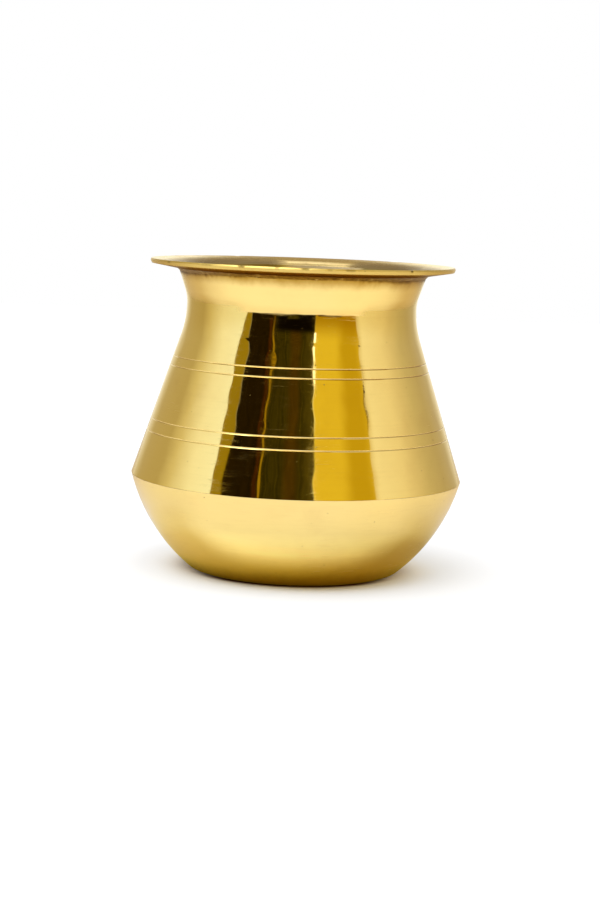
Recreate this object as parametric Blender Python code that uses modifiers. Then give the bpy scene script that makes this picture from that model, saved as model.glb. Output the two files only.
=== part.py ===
"""Ritual water pot: a small spun-brass vessel, built from three shells and two brazed seams.

The bowl and the cone-and-neck body meet at the sharp shoulder, where the bowl's lip laps inside
the body.  The rim flange is a dished ring around the flared mouth.  Each seam has its ring of braze.
Every piece is turned about +Z.  The origin is the centre of the foot, on the surface it stands on.
"""

import math

import bmesh
import bpy

MM = 0.001

# Overall form
TOTAL_HEIGHT = 89.0 * MM
SHOULDER_RADIUS = 48.0 * MM
SHOULDER_HEIGHT = 27.0 * MM
WAIST_RADIUS = 33.2 * MM
WAIST_DROP = 12.3 * MM            # from the rim's top down to the narrowest ring of the neck
WALL = 1.2 * MM

# Neck: a wide curve below the waist, a tight one above it, then a straight flared mouth
NECK_CURVE = 30.0 * MM
MOUTH_CURVE = 11.0 * MM
MOUTH_FLARE = math.radians(18.3)  # from the vertical

# Turned grooves: two pairs of fine V cuts around the cone
GROOVE_WIDTH = 0.55 * MM
GROOVE_DEPTH = 0.25 * MM
UPPER_PAIR_DROP = 16.35 * MM      # from the waist down to the middle of the upper pair
UPPER_PAIR_SPACING = 2.55 * MM
LOWER_PAIR_RISE = 14.8 * MM       # from the shoulder up to the middle of the lower pair
LOWER_PAIR_SPACING = 3.5 * MM

# Rim flange
RIM_WIDTH = 7.75 * MM             # from the outside of the mouth to the edge
RIM_THICKNESS = 1.2 * MM
RIM_DISH = math.radians(10.0)     # the flange rises outwards
RIM_EDGE_BREAK = 0.3 * MM         # chamfer on both corners of the edge

# Bowl and foot
BOWL_CURVE = 51.0 * MM
BASE_RADIUS = 30.5 * MM           # where the bowl's curve would meet the ground
BASE_ROUND = 2.5 * MM
FOOT_WIDTH = 3.0 * MM
DISH_DEPTH = 0.9 * MM             # hollow under the foot

# Seams
SEAM_GAP = 0.3 * MM               # room for the braze between two pieces
LIP_THICKNESS = 0.8 * MM
LIP_HEIGHT = 4.0 * MM             # how far the bowl's lip reaches up inside the body
JOGGLE_DROP = 3.0 * MM            # where the bowl's wall starts to step in towards the lip
BRAZE_LEG = 1.0 * MM

# Facets and solving
SEGMENTS = 72
CURVE_STEPS = 5
BOWL_STEPS = 9
ROUND_STEPS = 3
DISH_STEPS = 4
MERGE_DISTANCE = 0.01 * MM        # closes each turned skin where it meets itself
AIM_STEPS = 30                    # tries that settle where a wall meets the flange

# Brass colours, linear, and how rough each is
POLISHED_BRASS = (0.92, 0.71, 0.25, 1.0)
POLISHED_ROUGHNESS = 0.12
RIM_BRASS = (0.85, 0.66, 0.28, 1.0)
RIM_ROUGHNESS = 0.2
BRAZE_SPELTER = (0.50, 0.34, 0.13, 1.0)
BRAZE_ROUGHNESS = 0.5

WAIST_HEIGHT = TOTAL_HEIGHT - WAIST_DROP
SEAM_TOP = SHOULDER_HEIGHT + SEAM_GAP / 2      # lower edge of the body
SEAM_BOTTOM = SHOULDER_HEIGHT - SEAM_GAP / 2   # step of the bowl that carries it
LIP_TOP = SHOULDER_HEIGHT + LIP_HEIGHT


def cone_tilt():
    """Angle from the vertical of the cone that leaves the shoulder and touches the neck's curve."""
    across = WAIST_RADIUS + NECK_CURVE - SHOULDER_RADIUS
    up = WAIST_HEIGHT - SHOULDER_HEIGHT
    return math.asin(NECK_CURVE / math.hypot(across, up)) - math.atan2(across, up)


CONE_TILT = cone_tilt()


def wall_breaks(inset):
    """Heights where the wall, set in by inset, goes from cone to neck curve and from mouth curve to flare."""
    cone_end = WAIST_HEIGHT - (NECK_CURVE + inset) * math.sin(CONE_TILT)
    flare_start = WAIST_HEIGHT + (MOUTH_CURVE + inset) * math.sin(MOUTH_FLARE)
    return cone_end, flare_start


def wall_radius(height, inset=0.0):
    """Radius of the body's wall at a height, on the surface that lies inset inside its outer face."""
    cone_end, flare_start = wall_breaks(inset)
    if height <= cone_end:
        shoulder = SHOULDER_RADIUS - inset / math.cos(CONE_TILT)
        return shoulder - (height - SHOULDER_HEIGHT) * math.tan(CONE_TILT)
    if height <= WAIST_HEIGHT:
        curve = NECK_CURVE + inset
        return WAIST_RADIUS + NECK_CURVE - math.sqrt(curve ** 2 - (height - WAIST_HEIGHT) ** 2)
    curve = MOUTH_CURVE + inset
    if height <= flare_start:
        return WAIST_RADIUS + MOUTH_CURVE - math.sqrt(curve ** 2 - (height - WAIST_HEIGHT) ** 2)
    flare_radius = WAIST_RADIUS + MOUTH_CURVE - curve * math.cos(MOUTH_FLARE)
    return flare_radius + (height - flare_start) * math.tan(MOUTH_FLARE)


MOUTH_HEIGHT = TOTAL_HEIGHT - (RIM_WIDTH - RIM_EDGE_BREAK) * math.tan(RIM_DISH)
MOUTH_RADIUS = wall_radius(MOUTH_HEIGHT)
RIM_RADIUS = MOUTH_RADIUS + RIM_WIDTH


def rim_top(radius):
    """Height of the flange's upper face at a radius."""
    return MOUTH_HEIGHT + (radius - MOUTH_RADIUS) * math.tan(RIM_DISH)


def rim_underside(radius):
    """Height of the flange's lower face at a radius."""
    return rim_top(radius) - RIM_THICKNESS / math.cos(RIM_DISH)


def wall_meets(face, inset, drop=0.0):
    """Point where the wall surface at inset meets a flange face lowered by drop, found by repeated aim."""
    height = MOUTH_HEIGHT
    for _ in range(AIM_STEPS):
        height = face(wall_radius(height, inset)) - drop
    return wall_radius(height, inset), height


def wall_heights(inset, bottom, top):
    """Heights that describe the wall from bottom to top: its ends, and even steps round both curves."""
    heights = {bottom, top}
    for step in range(CURVE_STEPS + 1):
        share = step / CURVE_STEPS
        heights.add(WAIST_HEIGHT - (NECK_CURVE + inset) * math.sin(CONE_TILT * share))
        heights.add(WAIST_HEIGHT + (MOUTH_CURVE + inset) * math.sin(MOUTH_FLARE * share))
    return [height for height in heights if bottom <= height <= top]


def groove_heights():
    """Middle height of each turned groove."""
    upper = WAIST_HEIGHT - UPPER_PAIR_DROP
    lower = SHOULDER_HEIGHT + LOWER_PAIR_RISE
    return [
        middle + side * spacing / 2
        for middle, spacing in ((upper, UPPER_PAIR_SPACING), (lower, LOWER_PAIR_SPACING))
        for side in (-1, 1)
    ]


def bowl_centre():
    """Centre of the bowl's curve, which runs from the shoulder to the edge of the base."""
    across = SHOULDER_RADIUS - BASE_RADIUS
    chord = math.hypot(across, SHOULDER_HEIGHT)
    reach = math.sqrt(BOWL_CURVE ** 2 - (chord / 2) ** 2)
    radius = (SHOULDER_RADIUS + BASE_RADIUS) / 2 - reach * SHOULDER_HEIGHT / chord
    height = SHOULDER_HEIGHT / 2 + reach * across / chord
    return radius, height


def bowl_points(inset, top):
    """The bowl's wall and rounded foot corner, set in by inset, from the height top down to the floor."""
    centre_radius, centre_height = bowl_centre()
    curve = BOWL_CURVE - inset
    corner_reach = math.sqrt((BOWL_CURVE - BASE_ROUND) ** 2 - (centre_height - BASE_ROUND) ** 2)
    corner_radius = centre_radius + corner_reach
    start = math.asin((centre_height - top) / curve)
    end = math.atan2(centre_height - BASE_ROUND, corner_reach)
    points = []
    for step in range(BOWL_STEPS + 1):
        angle = start + (end - start) * step / BOWL_STEPS
        points.append((centre_radius + curve * math.cos(angle), centre_height - curve * math.sin(angle)))
    corner = BASE_ROUND - inset
    for step in range(1, ROUND_STEPS + 1):
        angle = end + (math.pi / 2 - end) * step / ROUND_STEPS
        points.append((corner_radius + corner * math.cos(angle), BASE_ROUND - corner * math.sin(angle)))
    return points


def dish_points(edge_radius, lift):
    """The shallow dome under the foot, lifted by lift, from its edge in to the axis."""
    return [
        (edge_radius * (1 - step / DISH_STEPS), lift + DISH_DEPTH * (1 - (1 - step / DISH_STEPS) ** 2))
        for step in range(1, DISH_STEPS + 1)
    ]


def body_profile():
    """Closed section of the cone-and-neck body, down its outside and up its inside."""
    inner_top = wall_meets(rim_top, WALL)[1]
    outside = [(wall_radius(height), height) for height in wall_heights(0.0, SEAM_TOP, MOUTH_HEIGHT)]
    for height in groove_heights():
        outside.append((wall_radius(height, GROOVE_DEPTH), height))
        for edge in (height - GROOVE_WIDTH / 2, height + GROOVE_WIDTH / 2):
            outside.append((wall_radius(edge), edge))
    outside.sort(key=lambda point: -point[1])
    inside = [(wall_radius(height, WALL), height) for height in wall_heights(WALL, SEAM_TOP, inner_top)]
    inside.sort(key=lambda point: point[1])
    return outside + inside


def rim_profile():
    """Closed section of the flange: broken outer edge, underside, bore around the mouth, top."""
    bore_bottom = wall_meets(rim_underside, -SEAM_GAP)
    bore_top = wall_meets(rim_top, -SEAM_GAP)
    edge_inner = RIM_RADIUS - RIM_EDGE_BREAK
    return [
        (edge_inner, rim_top(edge_inner)),
        (RIM_RADIUS, rim_top(edge_inner) - RIM_EDGE_BREAK),
        (RIM_RADIUS, rim_underside(edge_inner) + RIM_EDGE_BREAK),
        (edge_inner, rim_underside(edge_inner)),
        bore_bottom,
        bore_top,
    ]


def bowl_profile():
    """Open section of the bowl from the axis under the foot, over the lip, to the axis on the floor."""
    outside = [(SHOULDER_RADIUS, SEAM_BOTTOM)] + bowl_points(0.0, SEAM_BOTTOM)[1:]
    foot_inner = outside[-1][0] - FOOT_WIDTH
    underside = [(foot_inner, 0.0)] + dish_points(foot_inner, 0.0)
    inside = bowl_points(WALL, SEAM_BOTTOM - JOGGLE_DROP)
    floor = [(foot_inner, WALL)] + dish_points(foot_inner, WALL)
    lip_outer = WALL + SEAM_GAP
    lip_inner = lip_outer + LIP_THICKNESS
    lip = [
        (wall_radius(SEAM_BOTTOM, lip_inner), SEAM_BOTTOM),
        (wall_radius(LIP_TOP, lip_inner), LIP_TOP),
        (wall_radius(LIP_TOP, lip_outer), LIP_TOP),
        (wall_radius(SEAM_BOTTOM, lip_outer), SEAM_BOTTOM),
    ]
    return floor[::-1] + inside[::-1] + lip + outside + underside


def fillet(corner, along, up):
    """Hollow-faced triangle of braze between a corner and the ends of its two legs."""
    middle = tuple((corner[i] + along[i] + up[i]) / 3 for i in (0, 1))
    return [corner, along, middle, up]


def rim_braze_profile():
    """Fillet in the corner between the flange's underside and the neck."""
    corner = wall_meets(rim_underside, -SEAM_GAP, SEAM_GAP)
    out_radius = corner[0] + BRAZE_LEG
    out = (out_radius, rim_underside(out_radius) - SEAM_GAP)
    down_height = corner[1] - BRAZE_LEG
    down = (wall_radius(down_height, -SEAM_GAP), down_height)
    return fillet(corner, out, down)


def shoulder_braze_profile():
    """Fillet inside the pot, on the bowl's lip and against the body's wall."""
    height = LIP_TOP + SEAM_GAP
    corner = (wall_radius(height, WALL + SEAM_GAP), height)
    up_height = height + BRAZE_LEG
    up = (wall_radius(up_height, WALL + SEAM_GAP), up_height)
    inward = (corner[0] - BRAZE_LEG, height)
    return fillet(corner, inward, up)


def brass(name, colour, roughness):
    """A metal material of one colour."""
    material = bpy.data.materials.new(name)
    material.use_nodes = True
    shader = material.node_tree.nodes["Principled BSDF"]
    shader.inputs["Base Color"].default_value = colour
    shader.inputs["Metallic"].default_value = 1.0
    shader.inputs["Roughness"].default_value = roughness
    return material


def turned(name, profile, closed, material, collection):
    """Turns a profile of (radius, height) points about +Z into one named object."""
    mesh = bpy.data.meshes.new(name)
    shape = bmesh.new()
    points = [shape.verts.new((radius, 0.0, height)) for radius, height in profile]
    for start, end in zip(points, points[1:]):
        shape.edges.new((start, end))
    if closed:
        shape.edges.new((points[-1], points[0]))
    shape.to_mesh(mesh)
    shape.free()
    piece = bpy.data.objects.new(name, mesh)
    collection.objects.link(piece)
    screw = piece.modifiers.new("turn", "SCREW")
    screw.axis = "Z"
    screw.angle = 2 * math.pi
    screw.steps = SEGMENTS
    screw.render_steps = SEGMENTS
    screw.use_merge_vertices = True
    screw.merge_threshold = MERGE_DISTANCE
    screw.use_smooth_shade = True
    piece.modifiers.new("even_shading", "WEIGHTED_NORMAL")
    mesh.materials.append(material)
    return piece


def main():
    for existing in list(bpy.data.objects):
        bpy.data.objects.remove(existing)
    pot = bpy.data.collections.new("ritual_water_pot")
    bpy.context.scene.collection.children.link(pot)
    polished = brass("polished_brass", POLISHED_BRASS, POLISHED_ROUGHNESS)
    rim = brass("rim_brass", RIM_BRASS, RIM_ROUGHNESS)
    spelter = brass("braze_spelter", BRAZE_SPELTER, BRAZE_ROUGHNESS)
    turned("rim_flange", rim_profile(), True, rim, pot)
    turned("upper_body", body_profile(), True, polished, pot)
    turned("lower_bowl", bowl_profile(), False, polished, pot)
    turned("rim_braze", rim_braze_profile(), True, spelter, pot)
    turned("shoulder_braze", shoulder_braze_profile(), True, spelter, pot)


main()
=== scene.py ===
"""Looks of a small turned-brass ritual water pot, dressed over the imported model.

Every piece is a section of straight lines and tangent arcs, turned about the pot's axis, with its own
brass finish. Lengths are metres, +Z is up and the pot stands on z = 0.
"""

import logging
import math
from dataclasses import dataclass, replace
from enum import Enum
from functools import partial
from typing import Any, Callable, Sequence

import bpy
import numpy as np
from mathutils import Euler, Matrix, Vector


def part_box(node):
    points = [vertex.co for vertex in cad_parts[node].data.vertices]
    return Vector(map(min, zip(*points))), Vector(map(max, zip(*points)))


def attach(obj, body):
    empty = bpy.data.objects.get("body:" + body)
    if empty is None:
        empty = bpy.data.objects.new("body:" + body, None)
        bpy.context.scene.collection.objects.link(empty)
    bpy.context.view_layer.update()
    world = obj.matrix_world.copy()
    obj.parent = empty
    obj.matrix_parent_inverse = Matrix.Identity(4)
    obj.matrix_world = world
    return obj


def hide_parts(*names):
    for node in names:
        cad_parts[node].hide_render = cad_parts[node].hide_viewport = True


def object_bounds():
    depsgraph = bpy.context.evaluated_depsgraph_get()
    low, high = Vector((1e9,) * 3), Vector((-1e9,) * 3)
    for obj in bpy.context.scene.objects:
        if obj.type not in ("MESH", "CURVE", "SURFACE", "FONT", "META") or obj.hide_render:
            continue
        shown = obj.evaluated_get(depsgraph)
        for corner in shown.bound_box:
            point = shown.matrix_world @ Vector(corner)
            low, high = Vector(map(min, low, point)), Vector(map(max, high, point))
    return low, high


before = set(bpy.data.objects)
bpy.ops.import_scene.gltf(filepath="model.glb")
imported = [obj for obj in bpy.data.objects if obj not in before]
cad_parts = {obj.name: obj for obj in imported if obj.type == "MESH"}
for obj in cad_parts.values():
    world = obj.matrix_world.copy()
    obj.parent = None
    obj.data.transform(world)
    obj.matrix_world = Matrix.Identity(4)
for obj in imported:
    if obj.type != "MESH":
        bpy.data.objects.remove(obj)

LOG = logging.getLogger("water_pot")
CAD_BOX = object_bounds()
MM = 0.001
FULL_TURN = 2.0 * math.pi
QUARTER_TURN = math.pi / 2.0
FRONT_DEGREES = -90.0
ARC_STEP = math.radians(18.0)
NO_LENGTH = 1e-7

Length = float | np.ndarray
Pair = tuple[float, float]
Colour = tuple[float, float, float]
Stops = Sequence[tuple[float, Colour]]
Relief = Callable[[np.ndarray, np.ndarray, np.ndarray], np.ndarray]

WHITE: Colour = (1.0, 1.0, 1.0)
BLACK: Colour = (0.0, 0.0, 0.0)


class Slot(Enum):
    """The record's material slots."""

    POLISHED = "polished_brass"
    RIM = "rim_brass"
    BRAZE = "braze_spelter"


@dataclass(frozen=True)
class PotSizes:
    """Sizes that the pieces share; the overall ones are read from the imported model."""

    height: float = CAD_BOX[1][2]
    shoulder_radius: float = CAD_BOX[1][0]
    shoulder_height: float = 27.0 * MM
    rim_radius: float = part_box("rim_flange")[1][0]
    lip_top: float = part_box("lower_bowl")[1][2]
    waist_radius: float = 33.2 * MM
    waist_height: float = 76.7 * MM
    neck_curve: float = 30.0 * MM
    mouth_curve: float = 11.0 * MM
    mouth_flare: float = math.radians(18.3)
    rim_dish: float = math.radians(10.0)
    rim_break: float = 0.3 * MM
    rim_thickness: float = 1.35 * MM
    hollow_edge: float = 41.0 * MM
    hollow_reach: float = 4.9 * MM
    hollow_depth: float = 0.36 * MM
    wall: float = 1.2 * MM
    groove_heights: tuple[float, ...] = (61.37 * MM, 58.77 * MM, 43.27 * MM, 39.82 * MM)

    @property
    def cone_tilt(self) -> float:
        """Lean the cone's wall so that it runs tangent into the neck's curve.

        Returns:
            Its angle from the upright.
        """
        across = self.waist_radius + self.neck_curve - self.shoulder_radius
        up = self.waist_height - self.shoulder_height
        return math.asin(self.neck_curve / math.hypot(across, up)) - math.atan2(across, up)

    @property
    def rim_drop(self) -> float:
        """Upright distance from the rim's top face to its underside."""
        return self.rim_thickness / math.cos(self.rim_dish)

    def cone_radius(self, height: float, inset: float = 0.0) -> float:
        """Radius of the cone at a height, set in by a distance square to the wall."""
        drop = (height - self.shoulder_height) * math.tan(self.cone_tilt)
        return self.shoulder_radius - drop - inset / math.cos(self.cone_tilt)

    def cone_corner(self, inset: float = 0.0) -> float:
        """Height at which the cone's line meets the upright line of the waist."""
        return self.waist_height - (self.neck_curve + inset) * math.tan(self.cone_tilt / 2.0)

    def flare_corner(self, inset: float = 0.0) -> float:
        """Height at which the waist's upright line meets the mouth's flared line."""
        return self.waist_height + (self.mouth_curve + inset) * math.tan(self.mouth_flare / 2.0)

    def flare_radius(self, height: float, inset: float = 0.0) -> float:
        """Radius of the mouth's flared line at a height, set in by a distance square to it."""
        return self.waist_radius - inset + (height - self.flare_corner(inset)) * math.tan(self.mouth_flare)

    def rim_top(self, radius: Length) -> Length:
        """Height of the rim's dished top at a radius."""
        return self.height - (self.rim_radius - self.rim_break - radius) * math.tan(self.rim_dish)

    def rim_hollow(self, radius: Length) -> Length:
        """How far the rim's top lies under its straight dish, as the square of the way to the mouth."""
        inward = (self.hollow_edge - radius) / self.hollow_reach
        return self.hollow_depth * np.maximum(inward, 0.0) ** 2

    def flare_meets_rim(self, inset: float, drop: float) -> tuple[float, float]:
        """Find where the mouth's flared line crosses the rim's top line lowered by a drop.

        Args:
            inset: How far the flared line is set in.
            drop: How far the rim's line is lowered.

        Returns:
            Radius and height of the crossing.
        """
        flare, dish = math.tan(self.mouth_flare), math.tan(self.rim_dish)
        start = self.flare_radius(self.rim_top(0.0) - drop, inset)
        radius = start / (1.0 - flare * dish)
        return radius, self.rim_top(radius) - drop


SIZES = PotSizes()


@dataclass(frozen=True)
class Nick:
    """A nick in the rim's upper edge, in degrees right of the front."""

    degrees: float
    width: float
    depth: float


NICKS = (
    Nick(-58.0, 0.9 * MM, 0.10 * MM), Nick(-36.7, 1.8 * MM, 0.06 * MM), Nick(-22.2, 1.1 * MM, 0.13 * MM),
    Nick(-9.0, 0.6 * MM, 0.08 * MM), Nick(1.0, 1.1 * MM, 0.12 * MM), Nick(9.7, 0.7 * MM, 0.07 * MM),
    Nick(17.0, 1.5 * MM, 0.10 * MM), Nick(42.9, 0.50 * MM, 0.26 * MM), Nick(97.0, 0.8 * MM, 0.15 * MM),
    Nick(141.0, 1.2 * MM, 0.12 * MM), Nick(208.0, 0.7 * MM, 0.18 * MM), Nick(247.0, 1.0 * MM, 0.10 * MM))


def arithmetic(operation: str, swapped: bool = False) -> Callable[["Signal", "Number"], "Signal"]:
    """Make a method that calculates with a Signal and another number.

    Args:
        operation: The Math node's operation.
        swapped: Whether the other number comes first.

    Returns:
        The method.
    """
    def calculate(signal: "Signal", other: "Number") -> "Signal":
        """Add the Math node."""
        return signal.graph.math(operation, *((other, signal) if swapped else (signal, other)))

    return calculate


class Signal:
    """A shader number: an output socket whose arithmetic adds Math nodes to its graph."""

    def __init__(self, graph: "Graph", socket: bpy.types.NodeSocket) -> None:
        """Keep the graph and the socket that the number comes from."""
        self.graph = graph
        self.socket = socket

    __add__ = __radd__ = arithmetic("ADD")
    __sub__ = arithmetic("SUBTRACT")
    __rsub__ = arithmetic("SUBTRACT", swapped=True)
    __mul__ = __rmul__ = arithmetic("MULTIPLY")
    __truediv__ = arithmetic("DIVIDE")
    __pow__ = arithmetic("POWER")

    def __abs__(self) -> "Signal":
        """Drop the sign."""
        return self.graph.math("ABSOLUTE", self)

    def rise(self, low: float, high: float) -> "Signal":
        """Go smoothly from 0 at low to 1 at high, and stay there."""
        limits = {"Value": self, "From Min": low, "From Max": high}
        return self.graph.number("ShaderNodeMapRange", {"interpolation_type": "SMOOTHSTEP"}, limits)

    def near(self, centre: float, reach: float) -> "Signal":
        """Be 1 at the centre and fall smoothly to 0 a reach away on either side."""
        return 1.0 - abs(self - centre).rise(0.0, reach)

    def between(self, low: float, high: float, soft: float) -> "Signal":
        """Be 1 from low to high and 0 outside, each edge soft wide on either side."""
        return self.rise(low - soft, low + soft) * (1.0 - self.rise(high - soft, high + soft))


Number = Signal | float


class Graph:
    """A node tree that is filled by expressions."""

    FIRST_COLOUR = 6
    SECOND_COLOUR = 7
    MIXED_COLOUR = 2

    def __init__(self, tree: bpy.types.NodeTree) -> None:
        """Start from an empty tree."""
        self.tree = tree
        self.tree.nodes.clear()

    @classmethod
    def of(cls, owner: bpy.types.Material | bpy.types.World) -> "Graph":
        """Turn the nodes of a material or a world on and empty its tree."""
        owner.use_nodes = True
        return cls(owner.node_tree)

    def node(self, kind: str, settings: dict[str, Any], sockets: dict[str | int, Any]) -> bpy.types.Node:
        """Add one node.

        Args:
            kind: The node's type.
            settings: Its properties, set first; "stops" are a ramp's positions and colours.
            sockets: Values or links of its inputs, by name or number.

        Returns:
            The new node.
        """
        node = self.tree.nodes.new(kind)
        for name, setting in settings.items():
            if name == "stops":
                self.set_stops(node.color_ramp.elements, setting)
            else:
                setattr(node, name, setting)
        for name, value in sockets.items():
            source = value.socket if isinstance(value, Signal) else value
            if isinstance(source, bpy.types.NodeSocket):
                self.tree.links.new(source, node.inputs[name])
            else:
                plain_colour = node.inputs[name].type == "RGBA" and len(source) == 3
                node.inputs[name].default_value = (*source, 1.0) if plain_colour else source
        return node

    @staticmethod
    def set_stops(elements: Any, stops: Stops) -> None:
        """Give a ramp its stops.

        Args:
            elements: The ramp's elements, of which a new ramp has two.
            stops: Position and colour of each stop, in order.
        """
        elements.remove(elements[1])
        elements[0].position = stops[0][0]
        elements[0].color = (*stops[0][1], 1.0)
        for position, colour in stops[1:]:
            elements.new(position).color = (*colour, 1.0)

    def number(self, kind: str, settings: dict[str, Any], sockets: dict[str | int, Any],
               output: str | int = 0) -> Signal:
        """Add one node and wrap one of its outputs as a number."""
        return Signal(self, self.node(kind, settings, sockets).outputs[output])

    def math(self, operation: str, *values: Number) -> Signal:
        """Add a Math node."""
        return self.number("ShaderNodeMath", {"operation": operation}, dict(enumerate(values)))

    def ray(self, question: str) -> Signal:
        """Read what the Light Path node says about the ray."""
        return self.number("ShaderNodeLightPath", {}, {}, question)

    def mix(self, factor: Number, first: Any, second: Any, blend: str = "MIX") -> bpy.types.NodeSocket:
        """Mix two colours.

        Args:
            factor: 0 gives the first colour and 1 its blend with the second.
            first: A colour or a link.
            second: A colour or a link.
            blend: The way of blending; the plain one gives the second colour itself.

        Returns:
            The mixed colour's socket.
        """
        settings = {"data_type": "RGBA", "clamp_factor": True, "blend_type": blend}
        sockets = {0: factor, self.FIRST_COLOUR: first, self.SECOND_COLOUR: second}
        return self.node("ShaderNodeMix", settings, sockets).outputs[self.MIXED_COLOUR]

    def tint(self, first: Any, second: Any) -> bpy.types.NodeSocket:
        """Multiply two colours."""
        return self.mix(1.0, first, second, "MULTIPLY")

    def mix_shaders(self, factor: Signal, first: bpy.types.Node, second: bpy.types.Node) -> bpy.types.Node:
        """Mix two shader nodes, from the first at 0 to the second at 1."""
        sockets = {0: factor, 1: first.outputs[0], 2: second.outputs[0]}
        return self.node("ShaderNodeMixShader", {}, sockets)

    def ramp(self, place: Signal, stops: Stops) -> bpy.types.NodeSocket:
        """Read a colour from stops given in the number's own unit, straight between them.

        Args:
            place: Where to read.
            stops: Values of the number and their colours, in order.

        Returns:
            The colour's socket.
        """
        low, high = stops[0][0], stops[-1][0]
        spread = [((value - low) / (high - low), colour) for value, colour in stops]
        reading = {0: (place - low) / (high - low)}
        return self.node("ShaderNodeValToRGB", {"stops": spread}, reading).outputs[0]

    def vector(self, x: Number, y: Number, z: Number) -> bpy.types.NodeSocket:
        """Put three numbers together."""
        return self.node("ShaderNodeCombineXYZ", {}, {0: x, 1: y, 2: z}).outputs[0]

    def split(self, vector: bpy.types.NodeSocket) -> tuple[Signal, Signal, Signal]:
        """Take a vector apart into its three numbers."""
        outputs = self.node("ShaderNodeSeparateXYZ", {}, {0: vector}).outputs
        return Signal(self, outputs[0]), Signal(self, outputs[1]), Signal(self, outputs[2])

    def coordinates(self, kind: str) -> tuple[Signal, Signal, Signal]:
        """Read texture coordinates of a kind."""
        return self.split(self.node("ShaderNodeTexCoord", {}, {}).outputs[kind])

    def noise(self, vector: bpy.types.NodeSocket, detail: float = 2.0, roughness: float = 0.5) -> Signal:
        """Read cloudy noise, about 0.2 to 0.8, that changes over one unit of the vector."""
        return self.number("ShaderNodeTexNoise", {}, {
            "Vector": vector, "Scale": 1.0, "Detail": detail, "Roughness": roughness})


class TurnedPlace:
    """Where a point of a turned piece lies, as shader numbers, from its Object coordinates."""

    AXIS_GAP = 0.1 * MM
    ALONG_PER_RADIUS = 0.6
    PATCH_SWAY = 0.2
    PATCH_SOFT = 0.08
    PATCH_DEPTH = 0.3

    def __init__(self, graph: Graph) -> None:
        """Read the coordinates and work out the radius and the way round.

        Args:
            graph: The material's graph.
        """
        self.graph = graph
        self.x, self.y, self.height = graph.coordinates("Object")
        self.radius = (self.x * self.x + self.y * self.y) ** 0.5
        clear_of_axis = self.radius + self.AXIS_GAP
        self.across = self.x / clear_of_axis
        self.depth = self.y / clear_of_axis
        self.along = self.height + self.ALONG_PER_RADIUS * self.radius

    def rings(self, pitch: float, wander: float) -> bpy.types.NodeSocket:
        """Give noise coordinates of one unit to a pitch along the section and wander to a radius."""
        return self.graph.vector(self.across * wander, self.depth * wander, self.along / pitch)

    def lumps(self, size: float, squash: float = 1.0) -> bpy.types.NodeSocket:
        """Give noise coordinates of one unit to a size, flattened in height by squash."""
        return self.graph.vector(self.x / size, self.y / size, self.height * (squash / size))

    def clouds(self, size: float, detail: float = 2.0, roughness: float = 0.5, squash: float = 1.0) -> Signal:
        """Read cloudy noise, about 0.2 to 0.8, in lumps of a size."""
        return self.graph.noise(self.lumps(size, squash), detail, roughness)

    def uneven(self, number: Signal, amount: float, size: float, detail: float = 3.0, roughness: float = 0.5,
               squash: float = 1.0) -> Signal:
        """Shift a number by cloudy noise times an amount, so that what it draws gets a ragged edge."""
        return number + (self.clouds(size, detail, roughness, squash) - 0.5) * amount

    def back_patch(self, left: float, right: float, clouds: Signal) -> Signal:
        """Be 1 on a patch of the back whose sides, in radii right of the axis, follow the clouds."""
        swayed = self.across + (clouds - 0.5) * self.PATCH_SWAY
        return swayed.between(left, right, self.PATCH_SOFT) * self.depth.rise(0.0, self.PATCH_DEPTH)


@dataclass(frozen=True)
class Stain:
    """A change of colour and gloss where its mask is 1."""

    mask: Signal
    colour: Colour
    roughness: float


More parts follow.
